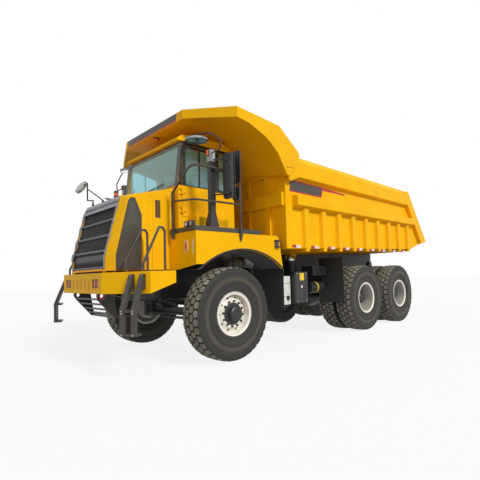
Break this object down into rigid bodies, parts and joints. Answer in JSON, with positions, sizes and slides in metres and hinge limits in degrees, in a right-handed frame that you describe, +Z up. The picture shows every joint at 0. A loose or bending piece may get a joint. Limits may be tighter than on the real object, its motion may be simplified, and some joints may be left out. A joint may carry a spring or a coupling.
{
  "type": "mining dump truck",
  "caption": "Off-highway mining dump truck with steered front wheels, twin rear wheels, an engine hood, a cab with doors, and a tipping load body with a canopy on telescopic hoists.",
  "frame": {"origin": "middle of the length and width, on the ground", "axes": "+X forward, +Y to the driver's left, +Z up"},
  "size_m": [8.993, 3.846, 4.0279],
  "materials": {
    "body_yellow": "gloss paint",
    "frame_black": "satin chassis paint",
    "dark_grey": "satin paint",
    "rubber_black": "matt",
    "tyre_rubber": "dusty block tread",
    "wheel_silver": "silver paint",
    "grille_black": "moulded grille",
    "black_plastic": "moulded",
    "lamp_orange": "lens",
    "window_glass": "tinted",
    "seat_fabric": "woven",
    "rod_chrome": "hard chrome",
    "cast_grey": "cast"
  },
  "bodies": {
    "chassis": {"frame_rails": "frame_black", "cross_members": "frame_black", "engine_block": "cast_grey", "rear_axles": "frame_black", "front_axle": "frame_black", "suspension": "frame_black", "bumper": "body_yellow", "lamps": "lamp_orange", "under_guard": "dark_grey", "ladders": "dark_grey", "handrails": "dark_grey", "deck_platform": "dark_grey", "fenders": "body_yellow", "splash_guards": "rubber_black", "cab_shell": "body_yellow", "cab_glass": "window_glass", "cab_interior": "seat_fabric", "mirrors": "black_plastic", "side_tanks": "black_plastic"},
    "hood": {"hood": "body_yellow", "grille": "grille_black", "front_mirror": "black_plastic"},
    "door_left": {"door_left": "body_yellow", "door_glass_left": "window_glass"},
    "door_right": {"door_right": "body_yellow", "door_glass_right": "window_glass"},
    "knuckle_left": {"knuckle_left": "cast_grey"},
    "knuckle_right": {"knuckle_right": "cast_grey"},
    "tie_rod": {"tie_rod": "cast_grey"},
    "wheel_front_left": {"tyre_front_left": "tyre_rubber", "rim_front_left": "wheel_silver"},
    "wheel_front_right": {"tyre_front_right": "tyre_rubber", "rim_front_right": "wheel_silver"},
    "wheels_rear1_left": {"tyres_rear1_left": "tyre_rubber", "rims_rear1_left": "wheel_silver"},
    "wheels_rear1_right": {"tyres_rear1_right": "tyre_rubber", "rims_rear1_right": "wheel_silver"},
    "wheels_rear2_left": {"tyres_rear2_left": "tyre_rubber", "rims_rear2_left": "wheel_silver"},
    "wheels_rear2_right": {"tyres_rear2_right": "tyre_rubber", "rims_rear2_right": "wheel_silver"},
    "dump_body": {"body_floor": "body_yellow", "body_side_left": "body_yellow", "body_side_right": "body_yellow", "body_front_wall": "body_yellow", "body_canopy": "body_yellow", "body_subframe": "body_yellow", "body_cross_members": "body_yellow"},
    "hoist_barrels": {"hoist_barrels": "frame_black"},
    "hoist_stage1": {"hoist_stage1": "rod_chrome"},
    "hoist_stage2": {"hoist_stage2": "rod_chrome"},
    "hoist_stage3": {"hoist_stage3": "rod_chrome"},
    "hoist_stage4": {"hoist_stage4": "rod_chrome"}
  },
  "joints": [
    {"name": "steer_left", "type": "hinge", "parent": "chassis", "child": "knuckle_left", "pos_m": [2.7835, 1.01, 0.73], "axis": [0, 0, 1], "range_deg": [-30, 30]},
    {"name": "steer_right", "type": "hinge", "parent": "chassis", "child": "knuckle_right", "pos_m": [2.7835, -1.01, 0.73], "axis": [0, 0, 1], "range_deg": [-30, 30]},
    {"name": "tie_rod_swing", "type": "hinge", "parent": "knuckle_left", "child": "tie_rod", "pos_m": [2.5635, 1.01, 0.56], "axis": [0, 0, 1], "range_deg": [-30, 30]},
    {"name": "spin_front_left", "type": "hinge", "parent": "knuckle_left", "child": "wheel_front_left", "pos_m": [2.7835, 1.385, 0.73], "axis": [0, 1, 0], "continuous": true},
    {"name": "spin_rear1_left", "type": "hinge", "parent": "chassis", "child": "wheels_rear1_left", "pos_m": [-1.0165, 1.27, 0.73], "axis": [0, 1, 0], "continuous": true},
    {"name": "spin_rear2_left", "type": "hinge", "parent": "chassis", "child": "wheels_rear2_left", "pos_m": [-2.6965, 1.27, 0.73], "axis": [0, 1, 0], "continuous": true},
    {"name": "door_left_swing", "type": "hinge", "parent": "chassis", "child": "door_left", "pos_m": [3.3035, 0.962, 2.55], "axis": [0, 0, -1], "range_deg": [0, 55]},
    {"name": "spin_front_right", "type": "hinge", "parent": "knuckle_right", "child": "wheel_front_right", "pos_m": [2.7835, -1.385, 0.73], "axis": [0, 1, 0], "continuous": true},
    {"name": "spin_rear1_right", "type": "hinge", "parent": "chassis", "child": "wheels_rear1_right", "pos_m": [-1.0165, -1.27, 0.73], "axis": [0, 1, 0], "continuous": true},
    {"name": "spin_rear2_right", "type": "hinge", "parent": "chassis", "child": "wheels_rear2_right", "pos_m": [-2.6965, -1.27, 0.73], "axis": [0, 1, 0], "continuous": true},
    {"name": "door_right_swing", "type": "hinge", "parent": "chassis", "child": "door_right", "pos_m": [3.3035, -0.962, 2.55], "axis": [0, 0, 1], "range_deg": [0, 55]},
    {"name": "hood_tilt", "type": "hinge", "parent": "chassis", "child": "hood", "pos_m": [4.3835, 0, 1.455], "axis": [0, 1, 0], "range_deg": [0, 60]},
    {"name": "body_tip", "type": "hinge", "parent": "chassis", "child": "dump_body", "pos_m": [-3.3165, 0, 1.52], "axis": [0, -1, 0], "range_deg": [0, 47]},
    {"name": "hoist_swing", "type": "hinge", "parent": "chassis", "child": "hoist_barrels", "pos_m": [0.2835, 0, 0.8], "axis": [0, -1, 0], "range_deg": [0, 25.64]},
    {"name": "hoist_slide1", "type": "slide", "parent": "hoist_barrels", "child": "hoist_stage1", "axis": [0.1104, 0, 0.9939], "range_m": [0, 0.7138]},
    {"name": "hoist_slide2", "type": "slide", "parent": "hoist_stage1", "child": "hoist_stage2", "axis": [0.1104, 0, 0.9939], "range_m": [0, 0.7138]},
    {"name": "hoist_slide3", "type": "slide", "parent": "hoist_stage2", "child": "hoist_stage3", "axis": [0.1104, 0, 0.9939], "range_m": [0, 0.7138]},
    {"name": "hoist_slide4", "type": "slide", "parent": "hoist_stage3", "child": "hoist_stage4", "axis": [0.1104, 0, 0.9939], "range_m": [0, 0.7138]}
  ],
  "couplings": [
    {"joint": "steer_right", "follows": "steer_left", "ratio": 1},
    {"joint": "tie_rod_swing", "follows": "steer_left", "ratio": -1},
    {"joint": "hoist_swing", "follows": "body_tip", "ratio": 0.53494},
    {"joint": "hoist_slide1", "follows": "body_tip", "m_per_rad": 0.86653},
    {"joint": "hoist_slide2", "follows": "body_tip", "m_per_rad": 0.86653},
    {"joint": "hoist_slide3", "follows": "body_tip", "m_per_rad": 0.86653},
    {"joint": "hoist_slide4", "follows": "body_tip", "m_per_rad": 0.86653}
  ]
}
